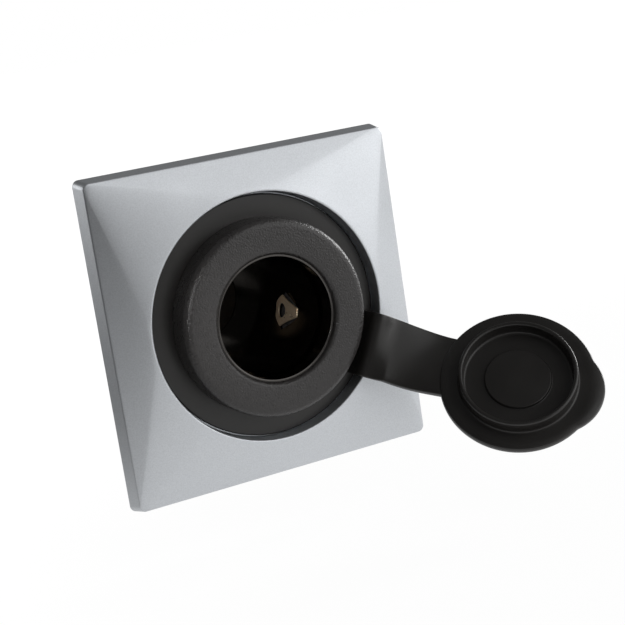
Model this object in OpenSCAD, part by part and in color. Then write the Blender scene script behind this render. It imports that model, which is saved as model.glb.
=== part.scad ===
// A 12 volt power socket for a vehicle or boat panel: a square cover frame, a round socket body
// behind it and a rubber dust cap whose strap comes out of the groove between the two.
// Lengths are in millimetres. The back of the cover frame is at Y = 0, the panel and the socket's
// barrel are on the +Y side and the mouth of the socket opens towards -Y.

/* [Cover frame] */
// Side of the square at the back of the frame
frame_w = 59.5; // [58:0.5:66]
// How much each side leans in towards the front
frame_draft = 0.6; // [0.2:0.1:1.2]
// Radius of the frame's outer corners
frame_corner_r = 1.2; // [0.6:0.1:2]
// Height of the frame's straight side
frame_edge_h = 3.9; // [3.4:0.1:5]
// Rise of the face from its outer edge to the rim of the hole
frame_crown = 2.6; // [1.6:0.1:3]
// Width of the flat land round the hole
rim_land = 0.4; // [0.2:0.1:0.8]
// Wall of the moulding
frame_skin = 1.8; // [1.4:0.1:2.2]
// Thickness of the recessed floor that the cap ring lies on
frame_floor_t = 2.8; // [2:0.1:3]

/* [Socket body] */
// Bore of the contact shell
bore_r = 10.5; // [10.2:0.05:10.8]
// Depth of the plain part of the bore
bore_len = 30.7; // [28:0.1:36]
// Sheet thickness of the contact shell
shell_t = 0.4; // [0.3:0.05:0.6]
// Step of the wider mouth of the shell over its bore
flare_step = 0.45; // [0.35:0.05:0.8]
// Depth of the wider mouth
flare_len = 3.45; // [3:0.05:5]
// Length of the cone between mouth and bore
flare_cone = 1; // [0.6:0.1:1.5]
// How far the shell stays below the face of the collar
shell_inset = 0.85; // [0.6:0.05:1.2]
// Radius of the collar
collar_r = 17.7; // [17:0.1:19]
// Height of the collar above the cap ring
collar_h = 5.8; // [5.4:0.1:7]
// Rounding of the collar's outer edge
collar_round = 1.5; // [0.8:0.1:1.8]
// Rounding of the collar's edge round the mouth
mouth_round = 0.8; // [0.4:0.05:1.1]
// Wall of the barrel at the root of its thread
barrel_wall = 2.35; // [1.9:0.05:2.9]
// Height of the barrel's thread
thread_h = 0.6; // [0.4:0.05:0.8]
// Spacing of the thread's ridges
thread_pitch = 3; // [2:0.1:3.6]
// Thickness of the rear cap
rear_cap_t = 5; // [4:0.1:7]

/* [Contacts] */
// Depth of the side contacts below the face of the collar
leaf_depth = 18.5; // [15:0.5:20]
// Turn of the right-hand side contact about the bore from the horizontal, in degrees
leaf_angle = -15; // [-30:1:30]
// Length of a side contact along the bore
leaf_len = 9; // [7:0.1:10]
// Width of a side contact round the bore
leaf_w = 6.4; // [5:0.1:7]
// Radius of the hole in a side contact
leaf_hole_r = 1.5; // [1:0.1:1.8]
// Gap between a side contact and the edge of its window
window_gap = 0.5; // [0.3:0.05:0.7]
// Radius of the centre contact
center_r = 3.2; // [2.6:0.1:3.6]
// Height of the centre contact
center_h = 2.5; // [2:0.1:3.5]
// Gap between the centre contact's rivet and the end of the bore
tip_gap = 0.2; // [0.1:0.05:0.6]
// Gap round the centre contact in its well
well_gap = 1; // [0.6:0.1:1.4]
// Thickness of the insulating disc under the centre contact
insulator_t = 1.5; // [1:0.1:2]
// Width of the inward flange at the bottom of the shell
flange_w = 2.9; // [2.6:0.1:3.2]
// Radius of the rivets
rivet_r = 0.9; // [0.7:0.05:1]
// Width of a terminal blade
blade_w = 6.3; // [5.8:0.1:6.8]
// Thickness of a terminal blade
blade_t = 0.8; // [0.6:0.1:1]
// Length of a terminal blade behind the rear cap
blade_len = 9; // [7:0.5:11]

/* [Fixing] */
// Space left for the panel and the washer's seat
grip = 5; // [3:0.5:8]
// Thickness of the washer
washer_t = 1.2; // [0.8:0.1:2]
// Width of the washer's band
washer_w = 3.45; // [3:0.05:4.5]
// Height of the retaining nut
nut_h = 7; // [5:0.5:9]
// Wall of the retaining nut, flange included
nut_wall = 4.45; // [3.8:0.05:5.5]
// Number of grip ribs on the nut
nut_ribs = 20; // [12:2:28]
// How far the nut's flange stands out past its ribs
nut_lip = 0.4; // [0.2:0.1:0.8]

/* [Dust cap] */
// Width of the groove between the collar and the hole of the frame
groove_w = 4.55; // [4.2:0.05:5]
// Thickness of the cap ring
ring_t = 1.4; // [1.2:0.1:1.6]
// Width of the strap
strap_w = 12; // [10:0.5:13]
// Thickness of the strap
strap_t = 1.2; // [1:0.1:1.3]
// Direction of the strap below the horizontal, in degrees
strap_angle = 27; // [20:1:35]
// Distance of the strap's riser from the wall of the collar
riser_gap = 1.9; // [1.7:0.05:2.1]
// Radius of the bend at the top of the riser
bend_r = 1.6; // [1.3:0.1:1.9]
// How far the bend starts above the rim of the frame
riser_over = 0.25; // [0.1:0.05:0.6]
// Slope of the strap beside the fold, in degrees
fold_slope = 12; // [8:1:16]
// Length of the thin stretch that folds
web_len = 2.65; // [2.5:0.05:3]
// Lean of the fold line towards the front, in degrees
fold_tilt = 14.4; // [12:0.1:16]
// Turn of the fold line away from square to the strap, in degrees
fold_skew = -3.4; // [-5:0.1:-2]
// Angle that the lid swings from open to closed, in degrees
open_angle = 138.2; // [120:0.1:145]
// Rise of the strap's arm above a straight line to the lid
arm_sag = 0.65; // [0.6:0.05:1.1]
// Radius of the lid
lid_r = 14.2; // [13.6:0.1:15]
// Thickness of the lid
lid_t = 1.5; // [1.3:0.1:1.8]
// Height of the plug ring under the lid
plug_h = 2.8; // [2.2:0.1:3]
// Wall of the plug ring
plug_t = 0.85; // [0.7:0.05:1.2]
// Radius of the raised disc inside the plug ring
boss_r = 6; // [4.5:0.1:6.8]
// Height of the raised disc
boss_h = 0.5; // [0.3:0.1:0.8]
// Radius of the finger tab
tab_r = 9; // [7.5:0.1:10]
// Distance of the tab's centre from the lid's centre
tab_off = 6.65; // [6.2:0.05:8]

/* [Clearances] */
// Play between parts that slide together
play = 0.05; // [0.03:0.01:0.08]
// Gap between the plug ring and the mouth of the shell
plug_gap = 0.2; // [0.15:0.05:0.4]
// Gap between the closed lid and the face of the collar
lid_gap = 0.3; // [0.25:0.05:0.5]
// Gap round the cap ring in the hole of the frame
ring_gap = 0.45; // [0.3:0.05:0.6]
// Gap between the barrel and what it passes through
barrel_gap = 0.6; // [0.3:0.05:0.8]
// Gap at the fold between the web and the arm
fold_gap = 0.15; // [0.12:0.01:0.2]

/* [Hidden] */
// Small overlap that joins the parts of one piece or lets a cut run out of it
eps = 0.01;
cut = 1;
// Rivet heads
head_r = 1.9 * rivet_r;
head_t = 0.6 * rivet_r;
// Heights above the back of the frame, growing towards the front
rim_top = frame_edge_h + frame_crown;
ring_top = frame_floor_t + ring_t;
collar_top = ring_top + collar_h;
shell_top = collar_top - shell_inset;
flare_bottom = shell_top - flare_len;
bore_top = flare_bottom - flare_cone;
bore_bottom = bore_top - bore_len;
shell_bottom = bore_bottom - shell_t;
contact_floor = bore_bottom - tip_gap - head_t - center_h;
barrel_bottom = contact_floor - insulator_t;
cap_bottom = barrel_bottom - rear_cap_t;
// Radii
hole_r = collar_r + groove_w;
ring_r = hole_r - ring_gap;
shell_r = bore_r + shell_t;
flare_r = bore_r + flare_step;
housing_bore_r = shell_r + play;
barrel_r = housing_bore_r + barrel_wall;
crest_r = barrel_r + thread_h;
barrel_hole_r = crest_r + barrel_gap;
nut_bore_r = crest_r + play;
washer_r = nut_bore_r + washer_w;
nut_r = nut_bore_r + nut_wall;
mouth_r = flare_r + shell_t + 2 * play;
// Steps round one corner of the frame's outline
corner_steps = 3;
// Middle of the negative rivet, on the shell's flange
negative_x = shell_r - flange_w / 2 - shell_t / 2;
// Eye in the tip of a terminal blade
eye_r = 0.8;
// Fold of the strap, in the upright plane through the strap's middle
riser_x = collar_r + riser_gap + strap_t / 2;
bend_x = riser_x + bend_r;
bend_w = rim_top + riser_over;
web_x = bend_x - bend_r * sin(fold_slope);
web_w = bend_w + bend_r * cos(fold_slope);
fold_x = web_x + web_len * cos(fold_slope);
fold_w = web_w + web_len * sin(fold_slope);
fold = [fold_x, 0, fold_w];
fold_axis = [sin(fold_skew) * cos(fold_tilt), -cos(fold_skew) * cos(fold_tilt), sin(fold_tilt)];
// Lid, closed on the collar
lid_bottom = collar_top + lid_gap;
plug_r = flare_r - plug_gap;
arm_x = sqrt(lid_r * lid_r - strap_w * strap_w / 4) - strap_t / 2;
arm_w = lid_bottom + lid_t / 2;
bend_steps = 8;
arm_steps = 12;

function mix(a, b, t) = a + (b - a) * t;
function ease(t) = t * t * (3 - 2 * t);
function unit(v) = v / norm(v);

// Turns the front of a shape from +Z to -Y.
module front() {
    rotate([90, 0, 0]) children();
}

// Puts local X along the strap.
module along_strap() {
    rotate([0, 0, -strap_angle]) children();
}

// Swings a shape from the closed lid's place to the open one.
module opened() {
    translate(fold) rotate(a = -open_angle, v = fold_axis) translate(-fold) children();
}

// Flat square with round corners.
module corner_square(side, height) {
    half = side / 2 - frame_corner_r;
    linear_extrude(height) polygon([for (q = [0:3]) for (i = [0:corner_steps])
        let (a = 90 * (q + i / corner_steps), b = 90 * q + 45)
        [half * sqrt(2) * cos(b) + frame_corner_r * cos(a), half * sqrt(2) * sin(b) + frame_corner_r * sin(a)]]);
}

// Flat band through a list of [middle, width direction, thickness direction].
module band(stations) {
    n = len(stations);
    points = [for (s = stations) for (c = [[1, 1], [-1, 1], [-1, -1], [1, -1]])
        s[0] + s[1] * c[0] * strap_w / 2 + s[2] * c[1] * strap_t / 2];
    sides = [for (k = [0:n - 2]) for (i = [0:3]) let (j = (i + 1) % 4)
        each [[4 * k + i, 4 * k + j, 4 * k + 4 + j], [4 * k + i, 4 * k + 4 + j, 4 * k + 4 + i]]];
    ends = [[3, 2, 1, 0], [for (i = [0:3]) 4 * (n - 1) + i]];
    polyhedron(points, concat(sides, ends));
}

// One station of the band: middle, direction of travel and width direction.
function station(middle, way, width) = let (w = unit(width)) [middle, w, unit(cross(w, way))];

side_way = [0, -1, 0];
fold_way = [cos(fold_slope), 0, sin(fold_slope)];

// Stretch that folds: over the rim of the frame, then turning into the fold line.
web_stations = concat(
    [for (i = [0:bend_steps - 1]) let (a = (90 - fold_slope) * i / bend_steps)
        station([bend_x - bend_r * cos(a), 0, bend_w + bend_r * sin(a)], [sin(a), 0, cos(a)], side_way)],
    [for (i = [0:3]) let (t = i / 3 * (1 - fold_gap / web_len))
        station(mix([web_x, 0, web_w], fold, t), fold_way, mix(side_way, fold_axis, t))]
);

// Arm from the fold line to the closed lid.
arm_stations = [for (i = [0:arm_steps]) let (t = i / arm_steps, run = [arm_x - fold_x, 0, arm_w - fold_w])
    station(fold + run * t + [0, 0, 4 * arm_sag * t * (1 - t)],
        run + [0, 0, 4 * arm_sag * (1 - 2 * t)], mix(fold_axis, side_way, ease(t)))];

// Flat round ring.
module ring(outer, inner, bottom, height) {
    translate([0, 0, bottom]) difference() {
        cylinder(r = outer, h = height, $fn = 96);
        translate([0, 0, -cut]) cylinder(r = inner, h = height + 2 * cut, $fn = 96);
    }
}

// Square edge, and a face that rises from its corners and sides to the round rim.
module frame_form() {
    hull() {
        corner_square(frame_w, eps);
        translate([0, 0, frame_edge_h - eps]) corner_square(frame_w - 2 * frame_draft, eps);
        translate([0, 0, rim_top - eps]) cylinder(r = hole_r + rim_land, h = eps, $fn = 64);
    }
}

module cover_frame() {
    inner_w = frame_w - 2 * frame_skin - 2 * frame_draft;
    tube_r = hole_r + frame_skin;
    color([0.66, 0.68, 0.7]) front() difference() {
        frame_form();
        difference() {
            translate([-inner_w / 2, -inner_w / 2, -cut]) cube([inner_w, inner_w, frame_edge_h - frame_skin + cut]);
            translate([0, 0, -2 * cut]) cylinder(r = tube_r, h = rim_top, $fn = 96);
        }
        translate([0, 0, frame_floor_t]) cylinder(r = hole_r, h = rim_top, $fn = 128);
        translate([0, 0, -cut]) cylinder(r = barrel_hole_r, h = rim_top, $fn = 96);
    }
}

module socket_housing() {
    outer_arc = [for (a = [0:15:90])
        [collar_r - collar_round + collar_round * cos(a), collar_top - collar_round + collar_round * sin(a)]];
    mouth_arc = [for (a = [90:15:180])
        [mouth_r + mouth_round + mouth_round * cos(a), collar_top - mouth_round + mouth_round * sin(a)]];
    ridges = floor((-barrel_bottom - thread_pitch) / thread_pitch);
    thread = [for (i = [ridges - 1:-1:0]) let (w = -thread_pitch * (i + 0.75))
        for (step = [[0, -0.25], [thread_h, -0.08], [thread_h, 0.08], [0, 0.25]])
        [barrel_r + step[0], w + step[1] * thread_pitch]];
    profile = concat(
        [[barrel_r, barrel_bottom]],
        thread,
        [[barrel_r, ring_top], [collar_r, ring_top]],
        outer_arc,
        mouth_arc,
        [[mouth_r, flare_bottom], [housing_bore_r, bore_top], [housing_bore_r, barrel_bottom]]
    );
    color([0.1, 0.1, 0.1]) front() rotate_extrude($fn = 128) polygon(profile);
}

// Six-sided bar through the wall of the bore, along +X.
module leaf_outline(grow) {
    depth = 2 * (shell_t + flare_step);
    l = leaf_len / 2 + grow;
    w = leaf_w / 2 + grow;
    translate([bore_r - depth / 2, 0, collar_top - leaf_depth]) rotate([0, 90, 0])
        linear_extrude(depth) polygon([[-l, -w / 4], [-l, w / 4], [0, w], [l, w / 4], [l, -w / 4], [0, -w]]);
}

module contact_shell() {
    profile = [[shell_r, shell_bottom], [shell_r, bore_top], [flare_r + shell_t, flare_bottom],
        [flare_r + shell_t, shell_top], [flare_r, shell_top], [flare_r, flare_bottom],
        [bore_r, bore_top], [bore_r, bore_bottom], [shell_r - flange_w, bore_bottom],
        [shell_r - flange_w, shell_bottom]];
    color([0.75, 0.74, 0.7]) front() difference() {
        rotate_extrude($fn = 128) polygon(profile);
        for (a = [0, 180]) rotate([0, 0, leaf_angle + a]) leaf_outline(window_gap);
        translate([0, negative_x, shell_bottom - cut])
            cylinder(r = rivet_r + play, h = shell_t + 2 * cut, $fn = 32);
    }
}

// Curved diamond plate with a hole, on the right-hand wall of the bore.
module side_contact() {
    intersection() {
        difference() {
            ring(shell_r, bore_r + play, collar_top - leaf_depth - leaf_len, 2 * leaf_len);
            translate([0, 0, collar_top - leaf_depth]) rotate([0, 90, 0])
                cylinder(r = leaf_hole_r, h = 2 * bore_r, $fn = 32);
        }
        leaf_outline(0);
    }
}

module side_contact_right() {
    color([0.72, 0.5, 0.3]) front() rotate([0, 0, leaf_angle]) side_contact();
}

module side_contact_left() {
    color([0.72, 0.5, 0.3]) front() rotate([0, 0, leaf_angle + 180]) side_contact();
}

// Disc with a well for the centre contact.
module insulator_disc() {
    color([0.3, 0.2, 0.12]) front() difference() {
        translate([0, 0, barrel_bottom])
            cylinder(r = housing_bore_r - play, h = shell_bottom - barrel_bottom, $fn = 96);
        translate([0, 0, contact_floor])
            cylinder(r = center_r + well_gap, h = shell_bottom - contact_floor + cut, $fn = 64);
        for (y = [0, negative_x]) translate([0, y, barrel_bottom - cut])
            cylinder(r = rivet_r + play, h = shell_bottom - barrel_bottom + 2 * cut, $fn = 32);
    }
}

// Button with a rounded edge, standing on the insulating disc.
module center_contact() {
    edge = center_h / 3;
    color([0.72, 0.5, 0.3]) front() translate([0, 0, contact_floor]) difference() {
        rotate_extrude($fn = 64) polygon(concat([[0, 0], [center_r, 0]],
            [for (a = [0:15:90]) [center_r - edge + edge * cos(a), center_h - edge + edge * sin(a)]],
            [[0, center_h]]));
        translate([0, 0, -cut]) cylinder(r = rivet_r + play, h = center_h + 2 * cut, $fn = 32);
    }
}

// Rivet down to a head behind the terminal's foot.
module rivet(top) {
    bottom = cap_bottom - blade_t;
    translate([0, 0, bottom - head_t / 2]) cylinder(r = rivet_r, h = top - bottom + head_t / 2, $fn = 32);
    translate([0, 0, bottom - head_t]) cylinder(r = head_r, h = head_t, $fn = 32);
}

// The centre rivet has a second head, on the centre contact.
module center_rivet() {
    top = contact_floor + center_h;
    color([0.72, 0.6, 0.4]) front() {
        rivet(top + head_t / 2);
        translate([0, 0, top]) cylinder(r = head_r, h = head_t, $fn = 32);
    }
}

// The negative rivet ends flush with the shell's flange.
module negative_rivet() {
    color([0.72, 0.6, 0.4]) front() translate([0, negative_x, 0]) rivet(bore_bottom);
}

module rear_cap() {
    edge = rear_cap_t / 5;
    color([0.12, 0.12, 0.12]) front() difference() {
        rotate_extrude($fn = 96) polygon([[0, cap_bottom], [barrel_r - edge, cap_bottom],
            [barrel_r, cap_bottom + edge], [barrel_r, barrel_bottom], [0, barrel_bottom]]);
        for (y = [0, negative_x]) translate([0, y, cap_bottom - cut])
            cylinder(r = rivet_r + play, h = rear_cap_t + 2 * cut, $fn = 32);
    }
}

// Foot under the rivet and a blade standing away from it, its eye near the tip.
module terminal(side) {
    stand = head_r + blade_t;
    y0 = side > 0 ? -stand : stand - blade_t;
    translate([0, 0, cap_bottom]) difference() {
        union() {
            translate([-blade_w / 2, side > 0 ? -stand : -head_r, -blade_t]) cube([blade_w, stand + head_r, blade_t]);
            translate([-blade_w / 2, y0, -blade_t - blade_len]) cube([blade_w, blade_t, blade_len + eps]);
        }
        translate([0, 0, -blade_t - cut]) cylinder(r = rivet_r + play, h = blade_t + 2 * cut, $fn = 32);
        translate([0, -stand - cut, -blade_t - 0.7 * blade_len]) rotate([-90, 0, 0])
            cylinder(r = eye_r, h = 2 * stand + 2 * cut, $fn = 32);
    }
}

module positive_terminal() {
    color([0.75, 0.74, 0.7]) front() terminal(1);
}

module negative_terminal() {
    color([0.75, 0.74, 0.7]) front() translate([0, negative_x, 0]) terminal(-1);
}

module nut_washer() {
    color([0.2, 0.2, 0.2]) front() ring(washer_r, nut_bore_r, -grip - washer_t, washer_t);
}

module retaining_nut() {
    rib_r = nut_r / nut_ribs;
    wall_r = nut_r - nut_lip - rib_r;
    bottom = -grip - washer_t - nut_h;
    flange_t = nut_h / 4;
    color([0.12, 0.12, 0.12]) front() difference() {
        union() {
            translate([0, 0, bottom + nut_h - flange_t]) cylinder(r = nut_r, h = flange_t, $fn = 96);
            translate([0, 0, bottom]) cylinder(r = wall_r, h = nut_h, $fn = 96);
            for (i = [0:nut_ribs - 1]) rotate([0, 0, 360 * i / nut_ribs])
                translate([wall_r, 0, bottom]) cylinder(r = rib_r, h = nut_h - flange_t / 2, $fn = 24);
        }
        translate([0, 0, bottom - cut]) cylinder(r = nut_bore_r, h = nut_h + 2 * cut, $fn = 96);
    }
}

// Ring and the upright root of the strap.
module cap_ring() {
    root = ring_top - ring_t / 2;
    color([0.15, 0.14, 0.13]) front() along_strap() union() {
        ring(ring_r, barrel_r + play, frame_floor_t, ring_t);
        translate([riser_x - strap_t / 2, -strap_w / 2, root]) cube([strap_t, strap_w, bend_w - root]);
    }
}

module strap_web() {
    color([0.15, 0.14, 0.13]) front() along_strap() band(web_stations);
}

module cap_lid() {
    color([0.15, 0.14, 0.13]) front() along_strap() opened() union() {
        translate([0, 0, lid_bottom]) cylinder(r = lid_r, h = lid_t, $fn = 128);
        translate([-tab_off, 0, lid_bottom]) cylinder(r = tab_r, h = lid_t, $fn = 96);
        ring(plug_r, plug_r - plug_t, lid_bottom - plug_h, plug_h + eps);
        translate([0, 0, lid_bottom - boss_h]) cylinder(r = boss_r, h = boss_h + eps, $fn = 96);
        band(arm_stations);
    }
}

cover_frame();
socket_housing();
contact_shell();
side_contact_right();
side_contact_left();
insulator_disc();
center_contact();
center_rivet();
negative_rivet();
rear_cap();
positive_terminal();
negative_terminal();
nut_washer();
retaining_nut();
cap_ring();
strap_web();
cap_lid();
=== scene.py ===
"""Looks of the 12 volt power socket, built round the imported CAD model.

Local places are written as (x, up, out) in millimetres: x to the right, up, and out towards the
viewer from the back of the cover frame. The row frame has the same x, -Y out and +Z up, in metres.
"""
import math
import bmesh
import bpy
from mathutils import Matrix, Vector


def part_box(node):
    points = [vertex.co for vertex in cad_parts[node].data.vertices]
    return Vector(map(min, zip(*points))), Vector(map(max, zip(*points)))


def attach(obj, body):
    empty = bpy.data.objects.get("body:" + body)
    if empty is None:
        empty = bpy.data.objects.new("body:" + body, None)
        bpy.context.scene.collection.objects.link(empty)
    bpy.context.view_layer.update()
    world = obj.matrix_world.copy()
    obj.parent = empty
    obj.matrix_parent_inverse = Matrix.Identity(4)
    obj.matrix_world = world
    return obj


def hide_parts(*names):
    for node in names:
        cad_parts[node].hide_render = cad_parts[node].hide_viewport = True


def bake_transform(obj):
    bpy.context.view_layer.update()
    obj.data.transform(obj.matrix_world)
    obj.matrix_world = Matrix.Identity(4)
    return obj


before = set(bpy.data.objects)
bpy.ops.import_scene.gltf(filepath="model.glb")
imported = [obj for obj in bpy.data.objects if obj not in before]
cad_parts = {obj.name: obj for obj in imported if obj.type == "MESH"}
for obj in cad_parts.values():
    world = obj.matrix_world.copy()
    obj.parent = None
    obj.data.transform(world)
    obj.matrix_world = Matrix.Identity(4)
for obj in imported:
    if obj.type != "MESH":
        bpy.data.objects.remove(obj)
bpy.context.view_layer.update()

MM = 0.001
BEVEL_SEGMENTS = 3
BEVEL_ANGLE = math.radians(28)

# Cover frame, in millimetres
FRAME_SIDE = 59.5
FRAME_DRAFT = 0.6
FRAME_CORNER = 1.2
EDGE_TOP = 3.9
RIM_TOP = 6.5
RIM_LAND = 0.4
FLOOR_TOP = 2.8
SKIN = 1.8

# Gaps that the CAD source names
PLAY = 0.05
PLUG_GAP = 0.2
LID_GAP = 0.3
RING_GAP = 0.45
BARREL_GAP = 0.6
RISER_GAP = 1.9
RISER_OVER = 0.25

# Socket body
COLLAR_R = 17.7
COLLAR_TOP = 10.0
COLLAR_ROUND = 1.5
MOUTH_ROUND = 0.8
BORE_R = 10.5
SHELL_T = 0.4
BARREL_WALL = 2.35
THREAD_H = 0.6
FLARE_R = 10.95
FLARE_BOTTOM = 5.7
SHELL_TOP = 9.2
LIP_R = 0.24
BORE_TOP = 4.7
HOUSING_BORE_R = BORE_R + SHELL_T + PLAY
MOUTH_R = FLARE_R + SHELL_T + 2 * PLAY
BARREL_R = HOUSING_BORE_R + BARREL_WALL
THREAD_R = BARREL_R + THREAD_H
THREAD_PITCH = 3.0
THREAD_START = -1.0
THREAD_FOOT = 0.75
THREAD_CREST = 0.18
THREAD_RUN = 12
SINK = 0.05
LEAST = 0.01
BARREL_BOTTOM = -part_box("socket_housing")[1][1] / MM

# Side contacts
LEAF_DEPTH = 18.5
LEAF_ANGLE = math.radians(-15)
LEAF_LEN = 9.0
LEAF_W = 6.4
LEAF_HOLE_R = 1.5
LEAF_T = 0.35
LEAF_BULGE = 1.1

# Dust cap
GROOVE_W = 4.55
CAP_RING_T = 1.4
RING_TOP = FLOOR_TOP + CAP_RING_T
HOLE_R = COLLAR_R + GROOVE_W
CAP_RING_R = HOLE_R - RING_GAP
FLOOR_HOLE_R = THREAD_R + BARREL_GAP
STRAP_W = 12.0
STRAP_T = 1.2
STRAP_ANGLE = math.radians(27)
RISER_X = COLLAR_R + RISER_GAP + STRAP_T / 2
BEND_R = 1.6
BEND_UP = RIM_TOP + RISER_OVER
FOLD_SLOPE = math.radians(12)
WEB_LEN = 2.65
FOLD_TILT = math.radians(14.4)
FOLD_SKEW = math.radians(-3.4)
OPEN_ANGLE = math.radians(138.2)
ARM_SAG = 0.65
LID_R = 14.2
LID_T = 1.5
LID_BOTTOM = COLLAR_TOP + LID_GAP
LID_EDGE = 0.3
LID_CENTRE_R = 0.4
LID_MARGIN = 2.0
PLUG_R = FLARE_R - PLUG_GAP
PLUG_T = 0.85
PLUG_H = 2.8
BOSS_R = 6.0
BOSS_H = 0.5
TAB_R = 9.0
TAB_OFF = 6.65

# Steps of the turned and swept meshes
TURN_STEPS = 192
FACE_STEPS = 12
LID_STEPS = 240
LID_EDGE_STEPS = 6
THREAD_STEPS = 72
LEAF_STEPS = 96
LEAF_RINGS = 8
LIP_STEPS = 16
RISER_STEPS = 6
BEND_STEPS = 10
ARM_STEPS = 30
SMOOTHINGS = 3

# Camera and stage, in the row frame's metres
CAMERA_AT = Vector((-0.11221, -0.25889, 0.05272))
CAMERA_TURN = (0.1526, -0.4581, -0.193)
CAMERA_FOCAL = 1582.242
IMAGE_SIDE = 625
SENSOR = 36.0
FLOOR_Z = -0.040
# Floor colour paints a pool of light near the floor's middle and painted shade further off, for the metal to
# reflect.
FLOOR_POOL_BRIGHT = (0.8, 0.8, 0.8)
FLOOR_PAINTED_DARK = (0.08, 0.08, 0.08)
FLOOR_POOL_MIDDLE = (0.13, -0.07, FLOOR_Z)
FLOOR_POOL_FADE = (0.13, 0.3)
FLOOR_REACH = 6.0
FLOOR_GLOW = 1.06
CAMERA_SHARE = (0.9, 1.0)
# Glow that glossy rays see near the floor's middle: a painted reflection of a bright floor, fading to none
# further off.
GLOSSY_POOL_GLOW = (0.72, 0.0)
SURROUND = 0.12
FULL_SPREAD = 180
LIGHTS = (
    # name, azimuth, elevation, distance, size, radiance, spread
    ("key", 40, 24, 1.0, (1.35, 1.0), 1.03, FULL_SPREAD),
    ("low", 48, 5, 1.0, (0.6, 0.3), 1.1, FULL_SPREAD),
    ("side", 98, 15, 0.8, (0.2, 0.4), 12.0, FULL_SPREAD),
    ("snoot", -36, 14, 0.4, (0.02, 0.02), 0.3, 3),
    ("back", -138, 8, 0.8, (0.5, 0.6), 1.5, FULL_SPREAD),
)


def place(x, up, out):
    """A local place in the row frame."""
    return Vector((x * MM, -out * MM, up * MM))


def mix(a, b, t):
    return a + (b - a) * t


def ease(t):
    return t * t * (3 - 2 * t)


def piece(name, points, faces, material, bevel=0.0, smooth=True):
    """A mesh piece in the scene."""
    mesh = bpy.data.meshes.new(name)
    mesh.from_pydata([tuple(p) for p in points], [], faces)
    shape = bmesh.new()
    shape.from_mesh(mesh)
    bmesh.ops.recalc_face_normals(shape, faces=shape.faces)
    shape.to_mesh(mesh)
    shape.free()
    mesh.polygons.foreach_set("use_smooth", [smooth] * len(mesh.polygons))
    obj = bpy.data.objects.new(name, mesh)
    bpy.context.scene.collection.objects.link(obj)
    mesh.materials.append(material)
    if bevel:
        edge = obj.modifiers.new("edge", "BEVEL")
        edge.width = bevel * MM
        edge.segments = BEVEL_SEGMENTS
        edge.limit_method = "ANGLE"
        edge.angle_limit = BEVEL_ANGLE
        normals = obj.modifiers.new("normals", "WEIGHTED_NORMAL")
        normals.keep_sharp = False
    return obj


def skin_rings(rings, closed=False):
    """Quads between rings of equally many points, capped at open ends."""
    n = len(rings[0])
    points = [p for ring in rings for p in ring]
    last = len(rings) if closed else len(rings) - 1
    faces = []
    for k in range(last):
        a, b = k * n, ((k + 1) % len(rings)) * n
        for i in range(n):
            j = (i + 1) % n
            faces.append((a + i, b + i, b + j, a + j))
    if not closed:
        faces.append(tuple(range(n)))
        faces.append(tuple(reversed(range(len(points) - n, len(points)))))
    return points, faces


def rounded(profile, radii, steps=5):
    """The corners of a closed (r, out) profile turned into arcs."""
    result = []
    count = len(profile)
    for i, radius in enumerate(radii):
        p = Vector(profile[i])
        if radius <= 0:
            result.append(tuple(p))
            continue
        a = (Vector(profile[i - 1]) - p).normalized()
        b = (Vector(profile[(i + 1) % count]) - p).normalized()
        half = a.angle(b) / 2
        back = radius / math.tan(half)
        middle = p + (a + b).normalized() * radius / math.sin(half)
        start, end = p + a * back - middle, p + b * back - middle
        turn = start.angle_signed(end)
        for k in range(steps + 1):
            spin = Matrix.Rotation(-turn * k / steps, 2)
            result.append(tuple(middle + spin @ start))
    return result


def turned(name, profile, material):
    """A closed profile of (r, out) turned round the socket's axis."""
    rings = [[place(r * math.cos(a), r * math.sin(a), w)
              for a in (2 * math.pi * i / TURN_STEPS for i in range(TURN_STEPS))] for r, w in profile]
    points, faces = skin_rings(rings, closed=True)
    return piece(name, points, faces, material)


# Materials

def shader(name, color, roughness, metallic=0.0, specular=0.5):
    material = bpy.data.materials.new(name)
    material.use_nodes = True
    bsdf = material.node_tree.nodes["Principled BSDF"]
    bsdf.inputs["Base Color"].default_value = (*color, 1)
    bsdf.inputs["Roughness"].default_value = roughness
    bsdf.inputs["Metallic"].default_value = metallic
    bsdf.inputs["Specular IOR Level"].default_value = specular
    return material, bsdf


def noise(material, scale, detail=4.0, stretch=(1, 1, 1)):
    """Noise that is fixed to the object."""
    nodes, links = material.node_tree.nodes, material.node_tree.links
    where = nodes.new("ShaderNodeTexCoord")
    stretcher = nodes.new("ShaderNodeMapping")
    stretcher.inputs["Scale"].default_value = stretch
    texture = nodes.new("ShaderNodeTexNoise")
    texture.inputs["Scale"].default_value = scale
    texture.inputs["Detail"].default_value = detail
    links.new(where.outputs["Object"], stretcher.inputs["Vector"])
    links.new(stretcher.outputs["Vector"], texture.inputs["Vector"])
    return texture.outputs["Fac"]


def ramp(material, fac, stops):
    """Colour ramp over a factor; stops are (place, colour)."""
    node = material.node_tree.nodes.new("ShaderNodeValToRGB")
    material.node_tree.links.new(fac, node.inputs["Fac"])
    elements = node.color_ramp.elements
    while len(elements) < len(stops):
        elements.new(0.5)
    for element, (position, color) in zip(elements, stops):
        element.position = position
        element.color = (*color, 1)
    return node.outputs["Color"]


def spread(material, fac, low, high):
    """A factor between 0.3 and 0.7 spread over low to high."""
    node = material.node_tree.nodes.new("ShaderNodeMapRange")
    node.inputs["From Min"].default_value = 0.3
    node.inputs["From Max"].default_value = 0.7
    node.inputs["To Min"].default_value = low
    node.inputs["To Max"].default_value = high
    material.node_tree.links.new(fac, node.inputs["Value"])
    return node.outputs["Result"]


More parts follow.
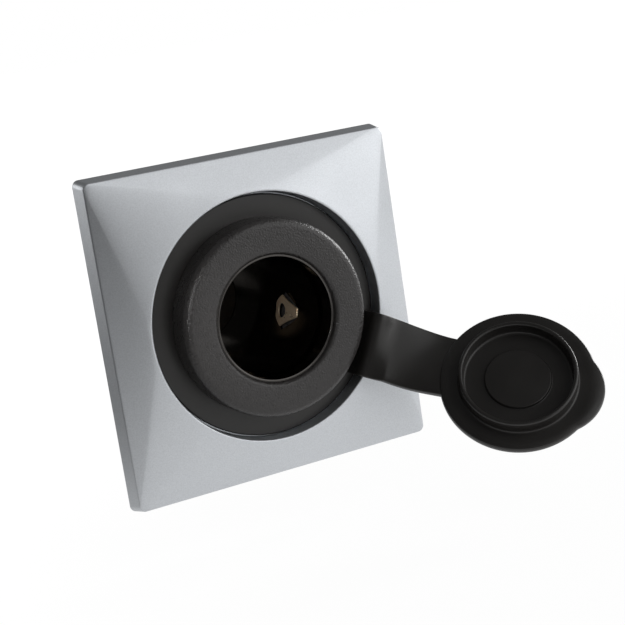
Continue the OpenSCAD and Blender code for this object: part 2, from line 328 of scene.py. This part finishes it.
def bump(material, bsdf, layers):
    """Bump from (factor, strength, distance in millimetres) layers."""
    nodes, links = material.node_tree.nodes, material.node_tree.links
    previous = None
    for fac, strength, distance in layers:
        node = nodes.new("ShaderNodeBump")
        node.inputs["Strength"].default_value = strength
        node.inputs["Distance"].default_value = distance * MM
        links.new(fac, node.inputs["Height"])
        if previous:
            links.new(previous, node.inputs["Normal"])
        previous = node.outputs["Normal"]
    links.new(previous, bsdf.inputs["Normal"])


def tone(material, color, fac, change):
    """Base colour that drifts by a share round its own value."""
    darker = tuple(c * (1 - change) for c in color)
    lighter = tuple(min(1, c * (1 + change)) for c in color)
    bsdf = material.node_tree.nodes["Principled BSDF"]
    drift = ramp(material, fac, [(0.3, darker), (0.7, lighter)])
    material.node_tree.links.new(drift, bsdf.inputs["Base Color"])


def satin_silver():
    color = (0.7, 0.725, 0.755)
    material, bsdf = shader("satin_silver", color, 0.4, metallic=0.8)
    cloud = noise(material, 90)
    grain = noise(material, 4200, 2)
    tone(material, color, grain, 0.06)
    material.node_tree.links.new(spread(material, cloud, 0.38, 0.43), bsdf.inputs["Roughness"])
    bump(material, bsdf, [(grain, 0.12, 0.02), (cloud, 0.05, 0.1)])
    return material


def textured_black():
    color = (0.042, 0.039, 0.038)
    material, bsdf = shader("black_plastic", color, 0.5)
    grain = noise(material, 3000, 1)
    speck = noise(material, 900, 2)
    tone(material, color, speck, 0.12)
    material.node_tree.links.new(spread(material, speck, 0.26, 0.36), bsdf.inputs["Roughness"])
    bump(material, bsdf, [(grain, 0.85, 0.12), (speck, 0.2, 0.06)])
    return material


def soft_rubber():
    color = (0.0215, 0.0198, 0.0182)
    material, bsdf = shader("cap_rubber", color, 0.5)
    grain = noise(material, 1500, 4)
    cloud = noise(material, 120)
    tone(material, color, cloud, 0.15)
    material.node_tree.links.new(spread(material, cloud, 0.28, 0.38), bsdf.inputs["Roughness"])
    bump(material, bsdf, [(grain, 0.25, 0.03), (cloud, 0.1, 0.1)])
    return material


def plated(name, color, low, high, metallic=1.0):
    """Rolled and plated sheet metal with faint drawing lines along the bore."""
    material, bsdf = shader(name, color, low, metallic)
    lines = noise(material, 1400, 3, (1, 0.05, 1))
    stain = noise(material, 160)
    tone(material, color, stain, 0.12)
    material.node_tree.links.new(spread(material, stain, low, high), bsdf.inputs["Roughness"])
    bump(material, bsdf, [(lines, 0.12, 0.02)])
    return material


def board():
    color = (0.05, 0.035, 0.025)
    material, bsdf = shader("insulating_board", color, 0.6)
    fibre = noise(material, 900, 5, (1, 1, 3))
    tone(material, color, fibre, 0.25)
    material.node_tree.links.new(spread(material, fibre, 0.5, 0.7), bsdf.inputs["Roughness"])
    bump(material, bsdf, [(fibre, 0.3, 0.05)])
    return material


# Cover frame

CORNER_STEPS = 20
SIDE_STEPS = 20
FAN = math.radians(9)


def square_point(half, quarter, k):
    """Point k of one quarter of a square with round corners: the corner first, then the side."""
    c = half - FRAME_CORNER
    if k <= CORNER_STEPS:
        a = math.pi / 2 * k / CORNER_STEPS
        x, y = c + FRAME_CORNER * math.cos(a), c + FRAME_CORNER * math.sin(a)
    else:
        x, y = mix(c, -c, (k - CORNER_STEPS) / SIDE_STEPS), half
    turn = math.pi / 2 * quarter
    return Vector((x * math.cos(turn) - y * math.sin(turn), x * math.sin(turn) + y * math.cos(turn)))


def rim_angle(quarter, k):
    """Where the face's straight line from point k of the square meets the round rim.

    The whole side runs to one narrow stretch of the rim, and the corner fans out to the rest.
    """
    if k <= CORNER_STEPS:
        a = mix(FAN, math.pi / 2 - FAN, k / CORNER_STEPS)
    else:
        a = mix(math.pi / 2 - FAN, math.pi / 2 + FAN, (k - CORNER_STEPS) / SIDE_STEPS)
    return math.pi / 2 * quarter + a


def cover_frame(material):
    """Moulded frame whose face rises from the square's sides and corners to the round rim."""
    walk = [(quarter, k) for quarter in range(4) for k in range(CORNER_STEPS + SIDE_STEPS)]
    front_half = FRAME_SIDE / 2 - FRAME_DRAFT
    base = [square_point(FRAME_SIDE / 2, *step) for step in walk]
    front = [square_point(front_half, *step) for step in walk]
    inner = [square_point(front_half - SKIN, *step) for step in walk]

    def circle(radius):
        angles = [rim_angle(*step) for step in walk]
        return [Vector((radius * math.cos(a), radius * math.sin(a))) for a in angles]

    def ring(outline, w):
        return [place(p.x, p.y, w) for p in outline]

    rings = [ring(base, 0), ring([mix(b, f, 0.5) for b, f in zip(base, front)], EDGE_TOP / 2)]
    rim = circle(HOLE_R + RIM_LAND)
    for k in range(FACE_STEPS + 1):
        t = k / FACE_STEPS
        rings.append(ring([mix(f, r, t) for f, r in zip(front, rim)], mix(EDGE_TOP, RIM_TOP, t)))
    for radius, w in ((HOLE_R, RIM_TOP), (HOLE_R, (RIM_TOP + FLOOR_TOP) / 2), (HOLE_R, FLOOR_TOP),
                      (FLOOR_HOLE_R, FLOOR_TOP), (FLOOR_HOLE_R, 0), (HOLE_R + SKIN, 0),
                      (HOLE_R + SKIN, EDGE_TOP - SKIN)):
        rings.append(ring(circle(radius), w))
    rings.append(ring(inner, EDGE_TOP - SKIN))
    rings.append(ring(inner, 0))
    points, faces = skin_rings(rings, closed=True)
    obj = piece("frame_moulding", points, faces, material, bevel=0.25)
    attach(obj, "root")
    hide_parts("cover_frame")


# Socket body

def socket_body(material):
    profile = [(BARREL_R, BARREL_BOTTOM), (BARREL_R, RING_TOP), (COLLAR_R, RING_TOP), (COLLAR_R, COLLAR_TOP),
               (MOUTH_R, COLLAR_TOP), (MOUTH_R, FLARE_BOTTOM), (HOUSING_BORE_R, BORE_TOP),
               (HOUSING_BORE_R, BARREL_BOTTOM)]
    radii = [0.15, 0.1, 0.3, COLLAR_ROUND, MOUTH_ROUND, 0, 0, 0.1]
    obj = turned("collar_and_barrel", rounded(profile, radii, 8), material)
    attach(obj, "root")
    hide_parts("socket_housing")


def barrel_thread(material):
    """Helical ridge on the barrel, run out to nothing at both ends."""
    first, last = THREAD_START, BARREL_BOTTOM - THREAD_START
    count = int((first - last) / THREAD_PITCH * THREAD_STEPS)
    foot_r = BARREL_R - SINK
    rings = []
    for k in range(count + 1):
        a = 2 * math.pi * k / THREAD_STEPS
        w = mix(first, last, k / count)
        share = min(1, THREAD_RUN * k / count, THREAD_RUN * (count - k) / count)
        crest_r = BARREL_R + THREAD_H * share + LEAST
        section = ((foot_r, -THREAD_FOOT), (crest_r, -THREAD_CREST),
                   (crest_r, THREAD_CREST), (foot_r, THREAD_FOOT))
        rings.append([place(r * math.cos(a), r * math.sin(a), w + dw) for r, dw in section])
    points, faces = skin_rings(rings)
    obj = piece("barrel_thread", points, faces, material, bevel=0.1)
    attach(obj, "root")


def shell_lip(material):
    """Rolled edge of the bore's sheet metal, just inside the mouth."""
    middle_r, middle_out = FLARE_R + SHELL_T / 2, SHELL_TOP - LIP_R
    profile = [(middle_r + LIP_R * math.cos(a), middle_out + LIP_R * math.sin(a))
               for a in (2 * math.pi * k / LIP_STEPS for k in range(LIP_STEPS))]
    obj = turned("bore_lip", profile, material)
    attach(obj, "root")


def side_contact(name, side, angle, material):
    """Springy leaf with a round hole, bulging into the bore through its window."""
    half_len, half_w = LEAF_LEN / 2, LEAF_W / 2
    corners = [(half_len, half_w / 4), (0, half_w), (-half_len, half_w / 4),
               (-half_len, -half_w / 4), (0, -half_w), (half_len, -half_w / 4)]

    def outline(turn):
        """Distance of the leaf's edge from the middle of its hole."""
        way = Vector((math.cos(turn), math.sin(turn)))
        reach = []
        for k, corner in enumerate(corners):
            a, b = Vector(corners[k - 1]), Vector(corner)
            across = Vector((b.y - a.y, a.x - b.x))
            if way.dot(across) > 0 and a.dot(across) > 0 or way.dot(across) < 0 and a.dot(across) < 0:
                reach.append(a.dot(across) / way.dot(across))
        return min(reach)

    def ring(share, lift):
        points = []
        for i in range(LEAF_STEPS):
            turn = 2 * math.pi * i / LEAF_STEPS
            far = mix(LEAF_HOLE_R, outline(turn), share)
            along, around = far * math.cos(turn), far * math.sin(turn)
            bulge = LEAF_BULGE * (1 - (along / half_len) ** 2) * (1 - (around / (2 * half_w)) ** 2)
            r = BORE_R + PLAY + lift - bulge
            a = angle + around / BORE_R
            points.append(place(r * math.cos(a), r * math.sin(a), COLLAR_TOP - LEAF_DEPTH + along))
        return points

    shares = [k / LEAF_RINGS for k in range(LEAF_RINGS + 1)]
    rings = [ring(share, 0) for share in shares] + [ring(share, LEAF_T) for share in reversed(shares)]
    points, faces = skin_rings(rings, closed=True)
    obj = piece(name, points, faces, material, bevel=0.08)
    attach(obj, "root")
    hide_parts(side)


# Dust cap

def along_strap(p):
    """From the strap's own frame, with X along it, to a place in the row frame."""
    c, s = math.cos(STRAP_ANGLE), math.sin(STRAP_ANGLE)
    return place(c * p.x + s * p.y, c * p.y - s * p.x, p.z)


WEB_X = RISER_X + BEND_R * (1 - math.sin(FOLD_SLOPE))
WEB_OUT = BEND_UP + BEND_R * math.cos(FOLD_SLOPE)
FOLD = Vector((WEB_X + WEB_LEN * math.cos(FOLD_SLOPE), 0, WEB_OUT + WEB_LEN * math.sin(FOLD_SLOPE)))
FOLD_AXIS = Vector((math.sin(FOLD_SKEW) * math.cos(FOLD_TILT), -math.cos(FOLD_SKEW) * math.cos(FOLD_TILT),
                    math.sin(FOLD_TILT)))
OPENING = Matrix.Translation(FOLD) @ Matrix.Rotation(-OPEN_ANGLE, 4, FOLD_AXIS) @ Matrix.Translation(-FOLD)


def strap_stations():
    """(middle, width direction) from the ring to the lid, with the lid open."""
    side = Vector((0, -1, 0))
    root = RING_TOP - CAP_RING_T / 2
    stations = [(Vector((RISER_X, 0, mix(root, BEND_UP, i / RISER_STEPS))), side) for i in range(RISER_STEPS)]
    for i in range(BEND_STEPS + 1):
        a = (math.pi / 2 - FOLD_SLOPE) * i / BEND_STEPS
        middle = Vector((RISER_X + BEND_R * (1 - math.cos(a)), 0, BEND_UP + BEND_R * math.sin(a)))
        stations.append((middle, side))
    for t in (0.25, 0.5, 0.75):
        stations.append((mix(Vector((WEB_X, 0, WEB_OUT)), FOLD, t), mix(side, FOLD_AXIS, t)))
    end = Vector((math.sqrt(LID_R ** 2 - STRAP_W ** 2 / 4) - STRAP_T / 2, 0, LID_BOTTOM + LID_T / 2))
    spin = OPENING.to_3x3()
    for i in range(ARM_STEPS + 1):
        t = i / ARM_STEPS
        middle = mix(FOLD, end, t) + Vector((0, 0, 4 * ARM_SAG * t * (1 - t)))
        stations.append((OPENING @ middle, spin @ mix(FOLD_AXIS, side, ease(t))))
    for _ in range(SMOOTHINGS):
        inside = [((stations[k - 1][0] + 2 * stations[k][0] + stations[k + 1][0]) / 4,
                   (stations[k - 1][1] + 2 * stations[k][1] + stations[k + 1][1]) / 4)
                  for k in range(1, len(stations) - 1)]
        stations = [stations[0]] + inside + [stations[-1]]
    return stations


def band_section(half_w, half_t, edge, width_steps=12, edge_steps=3):
    """Outline of the strap's section, anticlockwise, with rounded corners."""
    section = []
    for cx, cy, start in ((1, 1, 0), (-1, 1, 1), (-1, -1, 2), (1, -1, 3)):
        for k in range(edge_steps + 1):
            a = math.pi / 2 * (start + k / edge_steps)
            section.append(((half_w - edge) * cx + edge * math.cos(a),
                            (half_t - edge) * cy + edge * math.sin(a)))
        if start in (0, 2):
            for k in range(1, width_steps):
                section.append((mix(cx, -cx, k / width_steps) * (half_w - edge), half_t * cy))
    return section


def strap(material):
    stations = strap_stations()
    section = band_section(STRAP_W / 2, STRAP_T / 2, 0.25)
    rings = []
    for k, (middle, width) in enumerate(stations):
        ahead = stations[min(k + 1, len(stations) - 1)][0]
        behind = stations[max(k - 1, 0)][0]
        way = (ahead - behind).normalized()
        across = (width - way * width.dot(way)).normalized()
        up = across.cross(way).normalized()
        rings.append([along_strap(middle + across * u + up * v) for u, v in section])
    points, faces = skin_rings(rings)
    obj = piece("cap_strap", points, faces, material)
    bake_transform(obj)
    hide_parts("strap_web")


def cap_ring(material):
    inner = BARREL_R + PLAY
    profile = [(inner, FLOOR_TOP), (inner, RING_TOP), (CAP_RING_R, RING_TOP), (CAP_RING_R, FLOOR_TOP)]
    obj = turned("cap_ring_washer", rounded(profile, [0.1, 0.1, 0.3, 0.1]), material)
    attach(obj, "root")
    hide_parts("cap_ring")


def lid_outline(angle):
    """Distance of the lid's edge from its middle; the finger tab is on the far side from the strap."""
    c, s = math.cos(angle), math.sin(angle)
    reach = TAB_R ** 2 - (TAB_OFF * s) ** 2
    tab = -TAB_OFF * c + math.sqrt(reach) if reach > 0 else 0
    return max(LID_R, tab)


def lid(material):
    """Flat lid with its finger tab, and on the inside the plug ring and a low round boss."""
    top = LID_BOTTOM + LID_T
    inside = [(LID_CENTRE_R, LID_BOTTOM - BOSS_H), (BOSS_R, LID_BOTTOM - BOSS_H), (BOSS_R, LID_BOTTOM),
              (PLUG_R - PLUG_T, LID_BOTTOM), (PLUG_R - PLUG_T, LID_BOTTOM - PLUG_H),
              (PLUG_R, LID_BOTTOM - PLUG_H), (PLUG_R, LID_BOTTOM),
              (PLUG_R + LID_MARGIN, LID_BOTTOM)]
    rings = []

    def ring(radius_of, w):
        points = []
        for i in range(LID_STEPS):
            a = 2 * math.pi * i / LID_STEPS
            r = radius_of(a)
            points.append(along_strap(OPENING @ Vector((r * math.cos(a), r * math.sin(a), w))))
        rings.append(points)

    for r, w in rounded(inside, [0, 0.2, 0.2, 0.5, 0.4, 0.4, 0.4, 0]):
        ring(lambda a: r, w)
    for k in range(LID_EDGE_STEPS + 1):
        turn = math.pi * k / LID_EDGE_STEPS
        inset = LID_EDGE * (1 - math.sin(turn))
        w = mix(LID_BOTTOM + LID_EDGE, top - LID_EDGE, 0.5 - math.cos(turn) / 2) - LID_EDGE * math.cos(turn)
        ring(lambda a: lid_outline(a) - inset, w)
    for share in (0.9, 0.6, 0.3):
        ring(lambda a: lid_outline(a) * share, top)
    ring(lambda a: LID_CENTRE_R, top)
    points, faces = skin_rings(rings)
    obj = piece("cap_lid_moulding", points, faces, material)
    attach(obj, "lid")
    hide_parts("cap_lid")


# CAD nodes that keep their shape

def dress(node, material):
    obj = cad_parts[node]
    obj.data.materials.clear()
    obj.data.materials.append(material)


# Stage

def set_camera():
    turn = Vector(CAMERA_TURN)
    plate_turn = Matrix.Rotation(turn.length, 3, turn.normalized())
    right, down, ahead = (Vector((row.x, row.z, -row.y)) for row in plate_turn)
    data = bpy.data.cameras.new("camera")
    data.sensor_width = SENSOR
    data.lens = SENSOR * CAMERA_FOCAL / IMAGE_SIDE
    data.clip_start = 0.01
    camera = bpy.data.objects.new("camera", data)
    camera.matrix_world = Matrix((
        (right.x, -down.x, -ahead.x, CAMERA_AT.x),
        (right.y, -down.y, -ahead.y, CAMERA_AT.y),
        (right.z, -down.z, -ahead.z, CAMERA_AT.z),
        (0, 0, 0, 1)))
    bpy.context.scene.collection.objects.link(camera)
    bpy.context.scene.camera = camera


def set_world():
    """Dim grey surround, white where the camera sees it."""
    world = bpy.data.worlds.new("surround")
    bpy.context.scene.world = world
    world.use_nodes = True
    nodes, links = world.node_tree.nodes, world.node_tree.links
    background = nodes["Background"]
    background.inputs["Color"].default_value = (1, 1, 1, 1)
    path = nodes.new("ShaderNodeLightPath")
    strength = nodes.new("ShaderNodeMapRange")
    strength.inputs["To Min"].default_value = SURROUND
    strength.inputs["To Max"].default_value = 1.0
    links.new(path.outputs["Is Camera Ray"], strength.inputs["Value"])
    links.new(strength.outputs["Result"], background.inputs["Strength"])


def set_floor():
    """Floor with a painted pool of light round the object and painted shade further off, glowing for glossy
    rays near the object as a painted reflection; the camera sees it as white, with the object's soft shadow.
    """
    material, bsdf = shader("floor", FLOOR_POOL_BRIGHT, 0.9)
    nodes, links = material.node_tree.nodes, material.node_tree.links
    where = nodes.new("ShaderNodeTexCoord")
    length = nodes.new("ShaderNodeVectorMath")
    length.operation = "DISTANCE"
    length.inputs[1].default_value = FLOOR_POOL_MIDDLE
    away = nodes.new("ShaderNodeMapRange")
    away.interpolation_type = "SMOOTHSTEP"
    away.inputs["From Min"].default_value, away.inputs["From Max"].default_value = FLOOR_POOL_FADE
    links.new(where.outputs["Object"], length.inputs[0])
    links.new(length.outputs["Value"], away.inputs["Value"])
    # Painted pool of light: pale near the middle, painted shade further off.
    color = ramp(material, away.outputs["Result"], [(0, FLOOR_POOL_BRIGHT), (1, FLOOR_PAINTED_DARK)])
    links.new(color, bsdf.inputs["Base Color"])
    glow = nodes.new("ShaderNodeEmission")
    glow.inputs["Color"].default_value = (1, 1, 1, 1)
    glow.inputs["Strength"].default_value = FLOOR_GLOW
    path = nodes.new("ShaderNodeLightPath")
    shares = []
    # The camera share makes the floor white; the glossy share is a painted reflection that glows near the
    # middle.
    for ray, (near, far) in (("Is Camera Ray", CAMERA_SHARE), ("Is Glossy Ray", GLOSSY_POOL_GLOW)):
        share = nodes.new("ShaderNodeMapRange")
        share.inputs["To Min"].default_value = near
        share.inputs["To Max"].default_value = far
        seen = nodes.new("ShaderNodeMath")
        seen.operation = "MULTIPLY"
        links.new(away.outputs["Result"], share.inputs["Value"])
        links.new(share.outputs["Result"], seen.inputs[0])
        links.new(path.outputs[ray], seen.inputs[1])
        shares.append(seen.outputs["Value"])
    either = nodes.new("ShaderNodeMath")
    either.operation = "MAXIMUM"
    blend = nodes.new("ShaderNodeMixShader")
    links.new(shares[0], either.inputs[0])
    links.new(shares[1], either.inputs[1])
    links.new(either.outputs["Value"], blend.inputs["Fac"])
    links.new(bsdf.outputs["BSDF"], blend.inputs[1])
    links.new(glow.outputs["Emission"], blend.inputs[2])
    links.new(blend.outputs["Shader"], nodes["Material Output"].inputs["Surface"])
    corners = [(x * FLOOR_REACH, y * FLOOR_REACH, FLOOR_Z) for x, y in ((-1, -1), (1, -1), (1, 1), (-1, 1))]
    piece("floor", corners, [(0, 1, 2, 3)], material, smooth=False)


def softbox(name, azimuth, elevation, distance, size, radiance, spread):
    """Area light facing the object; azimuth 0 is in front of the object and 90 to its right."""
    a, e = math.radians(azimuth), math.radians(elevation)
    way = Vector((math.sin(a) * math.cos(e), -math.cos(a) * math.cos(e), math.sin(e)))
    data = bpy.data.lights.new(name, "AREA")
    data.shape = "RECTANGLE"
    data.size, data.size_y = size
    data.energy = radiance * math.pi * size[0] * size[1]
    data.spread = math.radians(spread)
    light = bpy.data.objects.new(name, data)
    light.location = way * distance
    light.rotation_euler = (-way).to_track_quat("-Z", "Y").to_euler()
    bpy.context.scene.collection.objects.link(light)


def set_lights():
    for light in LIGHTS:
        softbox(*light)


silver = satin_silver()
plastic = textured_black()
rubber = soft_rubber()
nickel = plated("nickel_steel", (0.62, 0.6, 0.56), 0.2, 0.3)
bore_metal = plated("bore_steel", (0.09, 0.085, 0.08), 0.1, 0.18)
brass = plated("contact_brass", (0.82, 0.64, 0.45), 0.25, 0.4, 0.7)

cover_frame(silver)
socket_body(plastic)
barrel_thread(plastic)
shell_lip(bore_metal)
cap_ring(rubber)
strap(rubber)
lid(rubber)
side_contact("leaf_right", "side_contact_right", LEAF_ANGLE, brass)
side_contact("leaf_left", "side_contact_left", LEAF_ANGLE + math.pi, brass)
dress("contact_shell", bore_metal)
for node in ("center_contact", "center_rivet", "negative_rivet"):
    dress(node, brass)
for node in ("positive_terminal", "negative_terminal"):
    dress(node, nickel)
for node in ("rear_cap", "nut_washer", "retaining_nut"):
    dress(node, plastic)
dress("insulator_disc", board())

set_camera()
set_world()
set_floor()
set_lights()
bpy.context.scene.view_settings.view_transform = "Standard"
